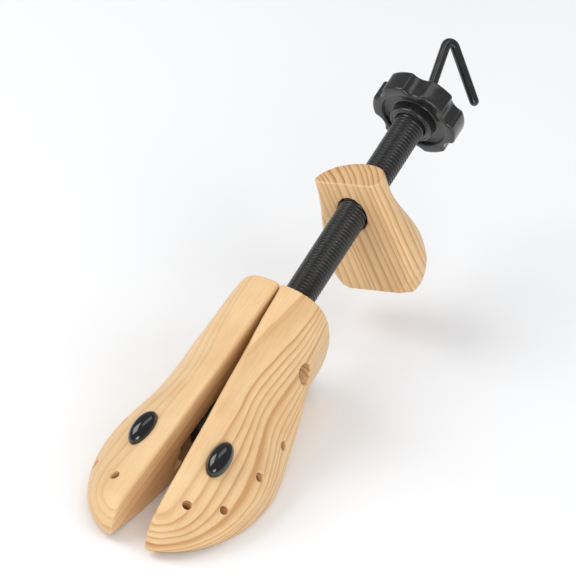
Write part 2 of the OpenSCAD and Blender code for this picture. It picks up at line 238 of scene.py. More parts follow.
def soften(ob, voxel, rounds):
    """One even skin over the cut solid, with every edge eased as sanding leaves it."""
    remesh = ob.modifiers.new("skin", "REMESH")
    remesh.mode = "VOXEL"
    remesh.voxel_size = voxel * MM
    remesh.adaptivity = 0.0
    apply_modifiers(ob)
    mesh = ob.data
    pts = read_points(mesh)
    count = len(pts)
    ends = np.zeros(len(mesh.edges) * 2, np.int64)
    mesh.edges.foreach_get("vertices", ends)
    ends = ends.reshape(-1, 2)
    degree = np.bincount(ends.ravel(), minlength=count).astype(float)
    for k in range(rounds):
        # plain averaging first, then pairs that shrink and swell back
        for weight in (0.55, -0.57) if k >= rounds // 3 else (0.5,):
            mean = np.zeros_like(pts)
            for c in range(3):
                mean[:, c] = (np.bincount(ends[:, 0], pts[ends[:, 1], c], count)
                              + np.bincount(ends[:, 1], pts[ends[:, 0], c], count)) / degree
            pts += weight * (mean - pts)
    write_points(mesh, pts)
    mesh.polygons.foreach_set("use_smooth", [True] * len(mesh.polygons))


def hand_worked(ob, seed, depth, size, keep_below=None, more_behind=None):
    """Slight unevenness from hand shaping.

    It fades out towards the height keep_below; more_behind is (y, extra depth behind it).
    """
    mesh = ob.data
    pts = read_points(mesh)
    normals = np.array([vertex.normal for vertex in mesh.vertices])
    offset = np.array([noise.noise(Vector(p) / (size * MM) + Vector(seed)) for p in pts])
    if keep_below is not None:
        offset *= np.clip((pts[:, 2] / MM - keep_below) / 4.0, 0, 1)
    if more_behind is not None:
        share = np.clip((pts[:, 1] / MM - more_behind[0]) / 25.0, 0, 1)
        depth = depth + more_behind[1] * (share * share * (3 - 2 * share))
    write_points(mesh, pts + normals * (offset * depth * MM)[:, None])


def sweep(name, path, radii, count=28):
    """A round bar along path, with its radius given at each point."""
    path = np.asarray(path, float)
    headings = np.gradient(path, axis=0)
    headings /= np.linalg.norm(headings, axis=1)[:, None]
    across = np.cross(headings[0], [0.3, 0.8, 0.52])
    across /= np.linalg.norm(across)
    angles = full_turn(count)
    rings = []
    for point, heading, radius in zip(path, headings, radii):
        across = across - heading * (across @ heading)
        across /= np.linalg.norm(across)
        other = np.cross(heading, across)
        rings.append(point + radius * (np.cos(angles)[:, None] * across
                                       + np.sin(angles)[:, None] * other))
    pts, faces = skin(rings)
    return outward(make(name, pts, faces))


def fit(ob, body, node):
    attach(ob, body)
    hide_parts(node)


# ---------------------------------------------------------------- toe block
# The profile rules take `fore`, the distance forward of the rear face.
UNDERCUT = 1.3          # the sole runs this far below bottom_z before it is cut at the floor


def ease(start, end, value):
    share = min(max((value - start) / (end - start), 0), 1)
    return share * share * (3 - 2 * share)


def half_width(fore, rear, full, widest, power):
    """Widens from rear to full at widest, then closes in to the tip."""
    if fore < widest:
        return rear + (full - rear) * ease(0, widest, fore)
    share = min(max((fore - widest) / (TOE_LEN - widest), 0), 1)
    return full * (1 - share ** 2) ** power


def sole_width(fore):
    return half_width(fore, rear=15.5, full=HALF_W, widest=86, power=0.56)


def middle_width(fore):
    return half_width(fore, rear=25, full=HALF_W - 0.1, widest=88, power=0.55)


def bottom_z(fore):
    """Flat, lifting a little at the rear and at the tip."""
    return 8 * max(0, (20 - fore) / 35) ** 2 + 5 * max(0, (fore - 100) / (TOE_LEN - 100)) ** 2


def top_z(fore):
    """A straight ridge falling forward, rounded down to the sole over the nose."""
    line = 76.7 - 0.389 * fore
    if fore <= TOE_LEN - NOSE:
        return line
    bottom = bottom_z(fore)
    return bottom + (line - bottom) * sqrt(max(0, 1 - ((fore - TOE_LEN + NOSE) / NOSE) ** 2.8))


def widest_z(fore, low, high):
    """Height of the widest line, never above 0.6 of the section."""
    level = 48 - 37 * ease(-5, 72, fore) - 4 * ease(90, 140, fore)
    return min(level, low + 0.6 * (high - low))


def crown(fore):
    """Exponent of the oval over the top: 2 is an ellipse, less is more pointed."""
    return 2.5 - 1.02 * ease(-5, 70, fore) + 0.5 * ease(110, 150, fore)


def toe_ring(fore):
    """Section of the right half: up the split side, over the crown and down to the sole."""
    wide, sole, power = middle_width(fore), sole_width(fore), crown(fore)
    low = bottom_z(fore) - UNDERCUT
    high = max(top_z(fore), low + 1.6)
    mid = widest_z(fore, low, high)
    sole_r = min(3, 0.3 * (high - low), 0.3 * sole)
    edge_r = min(2.2, 0.2 * (high - low), wide * 0.25)
    pts = [(0, low), (0, high - edge_r)]
    # the crown starts a little way off the split, behind a rounded edge
    for angle in np.linspace(0, 90, 9)[1:-1]:
        a = radians(angle)
        x = edge_r * (1 - cos(a))
        over = mid + (high - mid) * max(0.0, 1 - (x / wide) ** power) ** (1 / power)
        pts.append((x, high - edge_r + (over - (high - edge_r)) * sin(a)))
    for i in range(1, 61):
        a = radians(90 * (1 - i / 60))
        x = wide * cos(a) ** (2 / power) if i < 60 else wide
        if x > edge_r:
            pts.append((x, mid + (high - mid) * (sin(a) ** (2 / power) if i < 60 else 0)))
    for i in range(1, 12):
        s = i / 12
        pts.append((wide + (sole - wide) * s ** 1.6, mid + (low + sole_r - mid) * s))
    for i in range(9):
        a = radians(90 * i / 8)
        pts.append((sole - sole_r + sole_r * cos(a), low + sole_r - sole_r * sin(a)))
    x, z = respace(np.array(pts), corner=1, before=40, after=110)
    return np.c_[x, np.full(len(x), -fore), z]


def peg_place(fore, share):
    """Frame on the crown at a share of the half width, +Z out of the wood."""
    power = crown(fore)
    rise = (1 - share ** power) ** (1 / power)

    def crown_height(at):
        top = top_z(at)
        return top - widest_z(at, bottom_z(at) - UNDERCUT, top)

    def surface_z(at):
        height = crown_height(at)
        return top_z(at) - height + height * (1 - share ** crown(at)) ** (1 / crown(at))

    tilt = degrees(atan2(share ** (power - 1) / middle_width(fore),
                         rise ** (power - 1) / crown_height(fore)))
    pitch = degrees(atan((surface_z(fore - 2) - surface_z(fore + 2)) / 4))
    place = shift(middle_width(fore) * share, -fore, surface_z(fore))
    return place @ turn("x", pitch) @ turn("y", tilt)


def toe_half(side):
    half = sided(side, SWING)
    nose_from, nose_to = 132, TOE_LEN - 0.8
    stations = np.r_[np.arange(-24, nose_from, 1.0), nose_from
                     + (nose_to - nose_from) * np.sin(np.radians(90 * np.arange(0, 31) / 30))]
    ob = solid("toe_half", half, [toe_ring(fore) for fore in stations])
    split = half @ CLOSED
    along = split @ Z_TO_Y
    cross_at = CROSS_AT - CROSS_SKEW
    cutters = [
        box(split, (-60, 0, -90), (60, 60, 90)),                     # rear face
        cylinder(along, TUBE_R + 0.9, -11, 9, 96),                   # tube
        cylinder(along, ROD_R + 0.9, -100, 10, 48),                  # rod
        cylinder(along, 6.4, -17, -7, 64),                           # step below the tube
        prism(split, [(-1, -50), (0, -50), (4.6, -66), (9.3, -91), (9.3, -93), (-1, -93)],
              -7.8, 7.8),                                            # flared slot
        cylinder(split @ shift(-1, cross_at, CROSS_UP) @ Z_TO_X, 3.5, 0, 60, 48),
        cylinder(split @ shift(8, cross_at, CROSS_UP) @ Z_TO_X, 5.25, 0, 60, 64),
        box(split, (-1, -1.4, -40), (14.5, 8.6, -11)),               # notch in the rear edge
    ]
    for fore, right, left in PEGS:
        place = peg_place(fore, right if side > 0 else left)
        cutters.append(cylinder(half @ place, PEG_R, -PEG_DEPTH, 20, 40))
    cutters.append(box(np.eye(4), (-100, -250, -50), (100, 250, 0)))  # all below the floor
    cut(ob, cutters)
    soften(ob, voxel=0.55, rounds=9)
    hand_worked(ob, (3.1 + side * 7.7, 1.3, 5.9 - side), depth=0.20, size=18.0,
                keep_below=2.0, more_behind=(-62.0, 0.12))
    # the split face stays flat, so closed halves only meet, and nothing dips below z = 0
    sawn = put(np.linalg.inv(split), read_points(ob.data) / MM)
    sawn[:, 0] = np.maximum(sawn[:, 0], 0.06)
    pts = put(split, sawn) * MM
    pts[:, 2] = np.maximum(pts[:, 2], 0.0)
    write_points(ob.data, pts)
    ob.name = "toe_wood_right" if side > 0 else "toe_wood_left"
    return ob


toe_right, toe_left = toe_half(1), toe_half(-1)
fit(toe_right, "right_half", "toe_half_right")
fit(toe_left, "left_half", "toe_half_left")


# ---------------------------------------------------------------- heel block
def heel_ring(z):
    """Section at z: a flat front at y = 0 and a rounded back."""
    down = (HEEL_UP - z) / (HEEL_UP + HEEL_DOWN)             # 0 at the top, 1 at the bottom
    wide = 20 + 6.5 * ease(0.05, 0.75, down) - 4.5 * max(0, (down - 0.82) / 0.18) ** 1.6
    deep = 20 + 11 * ease(0.15, 0.7, down) - 5 * max(0, (down - 0.75) / 0.25) ** 2
    flat = wide - 3 - 4 * max(0, (down - 0.84) / 0.16)
    angles = np.radians(np.linspace(-90, 90, 91))
    back_y = 2.5 + (deep - 2.5) * np.maximum(np.cos(angles), 0) ** 0.85
    outline = np.vstack([[(-flat, 0)], np.c_[wide * np.sin(angles), back_y], [(flat, 0)]])
    x, y = respace(outline, corner=-2, before=100, after=40)
    return np.c_[x, y, np.full(len(x), z)]


def heel_block():
    ob = solid("heel_wood", HEEL, [heel_ring(z) for z in np.linspace(HEEL_UP, -HEEL_DOWN, 64)])
    cut(ob, [cylinder(TUBE, TUBE_R + 0.7, HEEL_AT - 30, HEEL_AT + 60, 96),
             cylinder(TUBE, 10.5, HEEL_AT + 6, HEEL_AT + 18, 96)])
    soften(ob, voxel=0.5, rounds=6)
    hand_worked(ob, (11.0, 4.0, 2.0), depth=0.12, size=15.0)
    return ob


heel = heel_block()
fit(heel, "heel", "heel_block")

# ---------------------------------------------------------------- threaded tube
PITCH, THREAD_DEPTH = 2.0, 0.62
TUBE_START, TUBE_END = -8.0, 138.0


def tube_radius(at, angles):
    if at <= TUBE_START + 0.1 or at >= TUBE_END - 0.1:       # chamfered ends
        return TUBE_R - 0.35
    if 1.89 < at < 2.91 or 9.59 < at < 10.61:                # two ring grooves
        return TUBE_R - 0.8
    if at < 12.6 or at > 133.1:                              # plain ends
        return TUBE_R - 0.02
    phase = (at / PITCH - angles / (2 * np.pi)) % 1.0
    off_crest = np.abs(phase - 0.5) * 2                      # 0 on the crest, 1 in the groove
    deep = np.clip((off_crest - 0.34) / 0.42, 0, 1)
    deep = deep * deep * (3 - 2 * deep)
    fade = min(1, (at - 12.5) / 2.5, (133.2 - at) / 2.5)
    return TUBE_R - 0.03 - THREAD_DEPTH * deep * fade


def threaded_tube():
    angles = full_turn(72)
    stations = np.r_[[TUBE_START, -7.6, 1.85, 1.9, 2.9, 2.95, 9.55, 9.6, 10.6, 10.65, 12.5],
                     np.arange(12.7, 133.01, 0.2), [133.3, 137.7, TUBE_END]]
    rings = [circle(angles, tube_radius(at, angles), at) for at in stations]
    # back down the bore
    for at, gap in ((TUBE_END, 0.25), (137.8, 0.02), (-7.8, 0.02), (TUBE_START, 0.25)):
        rings.append(circle(angles, BORE_R + gap, at))
    return solid("thread_tube", TUBE, rings, closed_path=True)


tube = threaded_tube()
fit(tube, "spindle", "threaded_tube")

# ---------------------------------------------------------------- scalloped hand wheel
LOBE_R, FILLET_R = 23.0, 1.9
SCALLOP_OUT, SCALLOP_R = 27.2, 7.0      # a scallop's centre off the axis, and its radius
RIM_ROUND = 1.4
# profile of the side towards the toe: radius, place along the tube
FRONT_PROFILE = [
    (8.06, 138.0), (8.06, 133.9), (8.25, 133.35), (8.8, 133.0), (9.5, 133.1), (9.95, 133.45),
    (10.1, 133.55), (10.3, 133.3), (10.8, 133.1), (11.25, 133.3), (11.5, 133.8), (11.5, 135.0),
    (11.5, 137.0), (11.5, 138.3), (11.75, 138.8), (12.3, 139.0), (14.2, 139.0), (16.4, 139.0),
    (17.1, 138.75), (17.35, 138.3), (17.4, 137.2), (17.5, 136.6), (17.85, 136.12), (18.3, 136.0)]
# profile of the side away from it: radius, depth under the back face
BACK_PROFILE = [
    (16.0, 0), (15.45, 0.12), (15.1, 0.55), (15.0, 1.3), (14.75, 1.8), (14.2, 2.0), (9.0, 2.0),
    (6.0, 2.0), (3.3, 2.0), (2.85, 2.4)]
ROD_HOLE = [(2.8, 138.4), (2.8, 138.0)]


def wheel_outline(inset):
    lobe_half = acos(((LOBE_R - FILLET_R) ** 2 + SCALLOP_OUT ** 2 - (SCALLOP_R + FILLET_R) ** 2)
                     / (2 * (LOBE_R - FILLET_R) * SCALLOP_OUT))
    fillet = np.array([cos(lobe_half), sin(lobe_half)]) * (LOBE_R - FILLET_R)
    meet = atan2(fillet[1], fillet[0] - SCALLOP_OUT)
    # from the middle of a scallop to the middle of the next lobe
    half = np.vstack([
        arc((SCALLOP_OUT, 0.0), SCALLOP_R + inset, np.linspace(pi, meet, 15)),
        arc(fillet, FILLET_R - inset, np.linspace(meet + pi - 2 * pi, lobe_half, 10)[1:]),
        arc((0.0, 0.0), LOBE_R - inset, np.linspace(lobe_half, pi / LOBES, 10)[1:])])
    sector = np.vstack([(half[::-1] * [1, -1])[:-1], half[:-1]])
    return np.vstack([sector @ turn("z", degrees(2 * pi / LOBES * (i + 0.5)))[:2, :2].T
                      for i in range(LOBES)])


def hand_wheel():
    base = wheel_outline(0.0)
    angles = np.arctan2(base[:, 1], base[:, 0])

    def rim(inset, at):
        return np.c_[wheel_outline(inset), np.full(len(base), at)]

    quarter = [(RIM_ROUND - RIM_ROUND * sin(a), RIM_ROUND - RIM_ROUND * cos(a))
               for a in np.radians(np.linspace(0, 90, 6))]
    rings = [circle(angles, radius, at) for radius, at in FRONT_PROFILE]
    rings += [rim(inset, WHEEL_AT + depth) for inset, depth in quarter]
    rings += [rim(0, at) for at in (139.5, 142.2, 145.0)]
    rings += [rim(inset, WHEEL_BACK - depth) for inset, depth in quarter[::-1]]
    rings += [circle(angles, radius, WHEEL_BACK - depth) for radius, depth in BACK_PROFILE]
    rings += [circle(angles, radius, at) for radius, at in ROD_HOLE]
    return solid("knob", TUBE, rings, closed_path=True)


knob = hand_wheel()
fit(knob, "spindle", "hand_wheel")

# ---------------------------------------------------------------- rod and hook, one swept bar
HOOK_AT = WHEEL_BACK - 2 + 4.0              # the rod stands 4 out of the wheel's recess
HOOK_TURN = -43.0                           # the hook's plane about the rod
HOOK_LEAN, LEAN_R = 13.5, 12.0
HOOK_LEG, HOOK_RETURN, HOOK_R = 29.5, 28.5, 3.2
TURN_BACK = 135.0


def hook_path():
    """The bent part in its own plane, Y along the rod, and the heading of its end."""
    lean, last = radians(HOOK_LEAN), radians(TURN_BACK) - radians(HOOK_LEAN)
    lean_arc = arc((-LEAN_R, 0), LEAN_R, np.linspace(0, lean, 8))
    leg = HOOK_LEG * np.array([-sin(lean), cos(lean)])
    centre = lean_arc[-1] + leg + HOOK_R * np.array([cos(lean), sin(lean)])
    bend = arc(centre, HOOK_R, pi - np.linspace(-lean, last, 40))
    heading = np.array([sin(last), cos(last)])
    pts = np.vstack([lean_arc, lean_arc[-1] + np.linspace(0, 1, 10)[1:-1, None] * leg, bend,
                     bend[-1] + np.linspace(0, HOOK_RETURN, 12)[1:, None] * heading])
    return pts, heading


def hook_bar():
    flat, heading = hook_path()
    plane = TUBE @ turn("z", 180 - HOOK_TURN) @ shift(0, 0, HOOK_AT) @ turn("x", 90)
    bent = put(plane, np.c_[flat, np.zeros(len(flat))])
    stations = np.r_[[-92.0, -91.9, -91.6, -91.0], np.arange(-88, HOOK_AT - 1.5, 4.0)]
    straight = put(TUBE, [(0, 0, at) for at in stations])
    end = plane[:3, :3] @ np.array([*heading, 0])
    tip = [bent[-1] + end * ROD_R * s for s in (0.38, 0.71, 0.92, 0.995)]
    radii = np.r_[[1.6, 2.1, 2.42], np.full(len(straight) - 3, ROD_R),
                  np.full(len(bent), ROD_R - 0.01), [2.3, 1.76, 0.98, 0.25]]
    return sweep("hook_bar", np.vstack([straight, bent, tip]), radii)


hook = hook_bar()
fit(hook, "hook", "hook_rod")

# ---------------------------------------------------------------- oval plugs in the first holes
PLUG_X, PLUG_Y, PLUG_HIGH = 5.6, 10.5, 5.3


def plug(side, wood):
    """A domed oval whose rim follows the wood, on a round stem."""
    place = sided(side, SWING @ peg_place(*PEGS[0][:2]))
    tree = BVHTree.FromObject(wood, bpy.context.evaluated_depsgraph_get())
    inverse = np.linalg.inv(place)
    angles = full_turn(72)

    def ground(x, y):
        above = put(place, [(x, y, 14.0)])[0]
        hit = tree.ray_cast(Vector(above * MM), Vector(-place[:3, 2]))[0]
        return put(inverse, [np.array(hit) / MM])[0][2] if hit is not None else 0.0

    rim = np.array([ground(PLUG_X * cos(a), PLUG_Y * sin(a)) for a in angles])
    for _ in range(6):
        rim = (np.roll(rim, 1) + rim + np.roll(rim, -1)) / 3
    rings = []
    for a in np.radians([89, 82, 74, 66, 58, 50, 42, 34, 26, 18, 10, 4]):
        z = 0.6 + (PLUG_HIGH - 0.1) * sin(a) + 0.35 * np.minimum(rim, 0.6) * (1 - sin(a))
        rings.append(oval(angles, PLUG_X * cos(a), PLUG_Y * cos(a), z))
    for inset, z in ((0, rim * 0.5 + 0.45), (0, rim - 0.12), (0.5, rim * 0.96 + 0.1)):
        rings.append(oval(angles, PLUG_X - inset, PLUG_Y - inset, z))
    stem = PEG_R - 0.1
    for radius, z in ((stem + 1.0, 0.3), (stem, 0.1), (stem, -9.6), (stem - 0.7, -10.4)):
        rings.append(circle(angles, radius, z))
    return solid("plug_right" if side > 0 else "plug_left", place, rings)


plug_right = plug(1, toe_right)
fit(plug_right, "right_plug", "bunion_plug_right")
plug_left = plug(-1, toe_left)
fit(plug_left, "left_plug", "bunion_plug_left")

# ---------------------------------------------------------------- springs on the cross bolt
COIL_R, WIRE_R, COIL_TURNS = 3.25, 0.33, 3.0
COIL_START, COIL_END = 11.95, 16.05         # distances out from the middle


def spring(side):
    share = np.linspace(0, 1, 150)
    lift = np.clip((share - 0.12) / 0.76, 0, 1)              # closed end coils
    coil = circle(2 * np.pi * COIL_TURNS * share, COIL_R,
                  COIL_START + (COIL_END - COIL_START) * lift)
    bolt = sided(side, SEAT @ shift(0, CROSS_AT, CROSS_UP) @ Z_TO_X)
    return sweep("coil_right" if side > 0 else "coil_left", put(bolt, coil),
                 np.full(len(share), WIRE_R), count=10)


coils = [spring(1), spring(-1)]
for coil in coils:
    fit(coil, "yoke", "return_springs")


# ---------------------------------------------------------------- materials
class Shader:
    """Short hand for building a material's nodes."""

    def __init__(self, name):
        self.mat = bpy.data.materials.new(name)
        self.mat.use_nodes = True
        self.nodes, self.links = self.mat.node_tree.nodes, self.mat.node_tree.links
        self.bsdf = next(n for n in self.nodes if n.type == "BSDF_PRINCIPLED")

    def node(self, kind, **settings):
        node = self.nodes.new(kind)
        for key, value in settings.items():
            setattr(node, key, value)
        return node

    def feed(self, node, key, value):
        """Link an output to an input, or set the input's value; None leaves it alone."""
        if hasattr(value, "is_output"):
            self.links.new(value, node.inputs[key])
        elif value is not None:
            node.inputs[key].default_value = value

    def feed_all(self, node, values):
        for key, value in values.items():
            self.feed(node, key, value)
        return node

    def surface(self, values):
        self.feed_all(self.bsdf, values)

    def math(self, operation, a, b=None, clamp=False):
        node = self.node("ShaderNodeMath", operation=operation, use_clamp=clamp)
        return self.feed_all(node, {0: a, 1: b}).outputs[0]

    def vec(self, operation, a, b=None):
        node = self.node("ShaderNodeVectorMath", operation=operation)
        self.feed_all(node, {0: a, 1: b})
        return node.outputs["Value" if operation in ("LENGTH", "DOT_PRODUCT") else 0]

    def noise(self, vector, scale, detail=3.0, rough=0.55, output=0):
        return self.feed_all(self.node("ShaderNodeTexNoise"), {
            "Vector": vector, "Scale": scale, "Detail": detail, "Roughness": rough,
        }).outputs[output]

    def remap(self, value, span, to):
        values = dict(enumerate((value, *span, *to)))
        return self.feed_all(self.node("ShaderNodeMapRange"), values).outputs[0]

    def ramp(self, value, stops):
        """Grey levels at (position, level) stops."""
        node = self.node("ShaderNodeValToRGB")
        elements = node.color_ramp.elements
        while len(elements) < len(stops):
            elements.new(0.5)
        for element, (position, level) in zip(elements, stops):
            element.position = position
            element.color = (level, level, level, 1)
        self.feed(node, 0, value)
        return node.outputs[0]

    def mix(self, share, a, b, kind="MIX"):
        node = self.node("ShaderNodeMix", data_type="RGBA", blend_type=kind)
        self.feed(node, 0, share)
        for i, colour in ((6, a), (7, b)):
            self.feed(node, i, colour if hasattr(colour, "is_output") else (*colour, 1))
        return node.outputs[2]

    def mm(self):
        """Object coordinates in mm."""
        place = self.node("ShaderNodeTexCoord").outputs["Object"]
        node = self.node("ShaderNodeVectorMath", operation="SCALE")
        return self.feed_all(node, {0: place, "Scale": 1000.0}).outputs[0]

    def bump(self, height, depth, strength, normal=None):
        return self.feed_all(self.node("ShaderNodeBump"), {
            "Height": height, "Distance": depth * MM, "Strength": strength, "Normal": normal,
        }).outputs[0]


PINE_LIGHT, PINE_MID, PINE_DARK = (0.83, 0.585, 0.325), (0.745, 0.475, 0.23), (0.575, 0.315, 0.125)


def pine(name, origin, along, spacing, contrast, seed, faint=0.35, wild=5.0):
    """Solid pine: growth rings round a far-off pith, so each face shows its own cut's grain.

    The pith runs through origin along `along`; spacing is a ring's width, faint the least
    strength of the late wood and wild how far the rings wander.
    """
    tree = Shader(name)
    to_pith = Vector(along).normalized().to_track_quat("Z", "Y").to_euler()

    def mapping(vector, values):
        node = tree.node("ShaderNodeMapping", vector_type="TEXTURE")
        tree.feed_all(node, {"Vector": vector, "Rotation": to_pith, **values})
        return node.outputs[0]

    def wander(reach, **settings):
        colour = tree.noise(drawn, output="Color", **settings)
        centred = tree.vec("SUBTRACT", colour, (0.5, 0.5, 0.5))
        return tree.vec("MULTIPLY", centred, (reach, reach, 0.0))

    def seeded(value, offset):
        return tree.feed_all(tree.node("ShaderNodeCombineXYZ"), {0: value, 1: offset}).outputs[0]

    # distance from the pith, with wandering
    place = mapping(tree.mm(), {"Location": origin})
    drawn = tree.vec("ADD", tree.vec("MULTIPLY", place, (1.0, 1.0, 0.22)),
                     (seed * 13.7, seed * 7.1, seed * 3.3))
    broad = wander(wild * 2, scale=0.017, detail=1.5, rough=0.4)
    small = wander(1.0, scale=0.12, detail=2.0, rough=0.5)
    moved = tree.vec("ADD", tree.vec("ADD", place, broad), small)
    radius = tree.vec("LENGTH", tree.vec("MULTIPLY", moved, (1.0, 1.0, 0.0)))
    # years of uneven width, each with its own strength of late wood
    swing = tree.noise(seeded(radius, seed), scale=0.10, detail=1.0)
    uneven = tree.math("MULTIPLY", tree.math("SUBTRACT", swing, 0.5), spacing * 3.2)
    years = tree.math("DIVIDE", tree.math("ADD", radius, uneven), spacing)
    ring = tree.math("FRACT", years)
    per_year = tree.noise(seeded(tree.math("FLOOR", years), 4.0 + seed), scale=0.73, detail=0.0)
    late = tree.ramp(ring, [(0.0, 0.22), (0.10, 0.05), (0.42, 0.10), (0.72, 0.42),
                            (0.90, 0.95), (0.965, 1.0), (1.0, 0.22)])
    patches = tree.noise(drawn, scale=0.028, detail=2.0)
    fade = tree.remap(patches, span=(0.34, 0.68), to=(faint, 1.05))
    strength = tree.remap(per_year, span=(0.25, 0.75), to=(0.55 * contrast, 1.15 * contrast))
    amount = tree.math("MULTIPLY", tree.math("MULTIPLY", late, fade), strength, clamp=True)
    # where a face lies flat along a ring the dark wood is thin and pale
    normal = mapping(tree.node("ShaderNodeTexCoord").outputs["Normal"], {})
    outwards = tree.vec("NORMALIZE", tree.vec("MULTIPLY", place, (1.0, 1.0, 0.0)))
    flat = tree.math("ABSOLUTE", tree.vec("DOT_PRODUCT", normal, outwards))
    thin = tree.remap(flat, span=(0.90, 0.995), to=(1.0, 0.42))
    amount = tree.math("MULTIPLY", amount, thin, clamp=True)
    # colour, with fibres drawn out along the pith
    fibre_place = tree.vec("MULTIPLY", place, (1.0, 1.0, 0.035))
    fibre = tree.noise(fibre_place, scale=1.5, detail=4.0, rough=0.62)
    fine = tree.noise(fibre_place, scale=5.5, detail=2.0, rough=0.5)
    blotch = tree.noise(tree.vec("ADD", place, (seed * 5.0, 2.0, 9.0)), scale=0.045, rough=0.5)
    base = tree.mix(tree.remap(blotch, span=(0.3, 0.7), to=(0.0, 0.75)), PINE_LIGHT, PINE_MID)
    colour = tree.mix(amount, base, PINE_DARK)
    fibre_tone = tree.ramp(fibre, [(0.28, 0.90), (0.52, 1.0), (0.75, 1.045)])
    colour = tree.mix(1.0, colour, fibre_tone, "MULTIPLY")
    colour = tree.mix(0.6, colour, tree.ramp(fine, [(0.3, 0.94), (0.6, 1.0)]), "MULTIPLY")
    # cut ends drink more finish and go darker
    geometry = tree.node("ShaderNodeNewGeometry").outputs
    facing = tree.vec("DOT_PRODUCT", geometry["True Normal"], tuple(Vector(along).normalized()))
    end = tree.math("POWER", tree.math("ABSOLUTE", facing), 5.0)
    soak = tree.math("ADD", 0.20, tree.math("MULTIPLY", amount, 0.70))
    soaked = tree.mix(1.0, colour, (0.80, 0.62, 0.45), "MULTIPLY")
    colour = tree.mix(tree.math("MULTIPLY", end, soak, clamp=True), colour, soaked)
    # paler along sharp edges, and painted shade darkening the hollows
    point = tree.remap(geometry["Pointiness"], span=(0.515, 0.56), to=(0.0, 0.35))
    colour = tree.mix(point, colour, (0.86, 0.66, 0.42))
    # painted shade: concave spots darkened to a deep brown as if shadowed
    painted_hollow_shade = tree.remap(geometry["Pointiness"], span=(0.485, 0.44), to=(0.0, 0.5))
    colour = tree.mix(painted_hollow_shade, colour, (0.42, 0.22, 0.09))
    # late wood is a little smoother than the fibres
    smoother = tree.math("SUBTRACT", 0.40, tree.math("MULTIPLY", amount, 0.07))
    fibre_bump = tree.bump(fibre, depth=0.045, strength=0.55)
    tree.surface({
        "Base Color": colour,
        "Roughness": tree.math("ADD", tree.math("MULTIPLY", fibre, 0.16), smoother),
        "Specular IOR Level": 0.38, "Coat Weight": 0.10, "Coat Roughness": 0.32,
        "Normal": tree.bump(amount, depth=0.05, strength=0.45, normal=fibre_bump)})
    return tree.mat


def worn_edge(tree, wear):
    pointiness = tree.node("ShaderNodeNewGeometry").outputs["Pointiness"]
    return tree.remap(pointiness, span=(0.52, 0.60), to=(0.0, wear))


def plastic(name, colour, rough, coat=0.0, grain=0.012, wear=0.25, lift=(0.05, 0.05, 0.052),
            scratch=0.06):
    """Mottled plastic: grain is the bump's depth, lift the colour of its worn edges."""
    tree = Shader(name)
    place = tree.mm()
    mottle = tree.noise(place, scale=0.22, detail=4.0)
    tiny = tree.noise(place, scale=3.2)
    drawn = tree.vec("MULTIPLY", place, (0.9, 0.09, 0.35))
    streak = tree.noise(drawn, scale=2.4, rough=0.6)
    paler = tuple(c * 1.7 + 0.002 for c in colour)
    body = tree.mix(tree.remap(mottle, span=(0.3, 0.75), to=(0.0, 0.6)), colour, paler)
    dull = tree.math("ADD", tree.math("MULTIPLY", mottle, 0.10), rough - 0.05)
    marks = tree.remap(streak, span=(0.55, 0.75), to=(0.0, 1.0))
    tree.surface({
        "Base Color": tree.mix(worn_edge(tree, wear), body, lift),
        "Roughness": tree.math("ADD", dull, tree.math("MULTIPLY", marks, scratch)),
        "Coat Weight": coat, "Coat Roughness": 0.06,
        "Normal": tree.bump(tiny, depth=grain, strength=0.6)})
    return tree.mat


def metal(name, colour, rough, brush=(1.0, 1.0, 1.0), tarnish=(0.30, 0.27, 0.23)):
    """Brushed metal: brush stretches the grain, tarnish is the colour of its dull patches."""
    tree = Shader(name)
    place = tree.mm()
    brushed = tree.noise(tree.vec("MULTIPLY", place, brush), scale=2.5, detail=4.0, rough=0.6)
    mottle = tree.noise(place, scale=0.5, detail=4.0)
    body = tree.mix(tree.remap(mottle, span=(0.45, 0.8), to=(0.0, 0.3)), colour, tarnish)
    bright = tuple(min(1, c * 1.25) for c in colour)
    tree.surface({
        "Base Color": tree.mix(worn_edge(tree, 0.6), body, bright),
        "Metallic": 1.0,
        "Roughness": tree.math("ADD", tree.math("MULTIPLY", brushed, 0.22), rough - 0.11),
        "Normal": tree.bump(brushed, depth=0.01, strength=0.5)})
    return tree.mat


PINE_R = pine("pine_right", origin=(9.0, -45.0, -31.3), along=(0.03, -0.95, -0.315),
              spacing=2.9, contrast=1.80, seed=1.0, faint=0.5, wild=4.0)
PINE_L = pine("pine_left", origin=(-22.0, -45.0, -60.0), along=(-0.02, -0.93, -0.36),
              spacing=5.2, contrast=0.55, seed=2.3, wild=6.0)
PINE_H = pine("pine_heel", origin=tuple(put(HEEL, [(-62, -58, -10)])[0]),
              along=tuple(HEEL[:3, :3] @ np.array([-0.20, 0.05, 1.0])),
              spacing=2.7, contrast=1.75, seed=3.7, faint=0.6, wild=2.5)
THREAD = plastic("thread_black", (0.014, 0.014, 0.014), rough=0.27, coat=0.2, wear=0.35,
                 lift=(0.07, 0.07, 0.07))
GLOSS = plastic("moulded_black", (0.017, 0.017, 0.017), rough=0.24, coat=0.3, grain=0.008,
                lift=(0.07, 0.07, 0.07))
SHINE = plastic("plug_black", (0.006, 0.006, 0.007), rough=0.13, coat=0.6, grain=0.004,
                wear=0.1, scratch=0.03)
LACQUER = plastic("hook_lacquer", (0.016, 0.016, 0.016), rough=0.20, coat=0.4, grain=0.008,
                  wear=0.2)
MATT = plastic("wedge_black", (0.018, 0.018, 0.019), rough=0.48, grain=0.02, wear=0.3,
               lift=(0.09, 0.09, 0.09))
NYLON = plastic("bush_nylon", (0.72, 0.70, 0.64), rough=0.42, grain=0.01, wear=0.2,
                lift=(0.85, 0.83, 0.78))
ZINC = metal("zinc_plate", (0.62, 0.62, 0.60), rough=0.34, brush=(0.4, 0.4, 1.6))
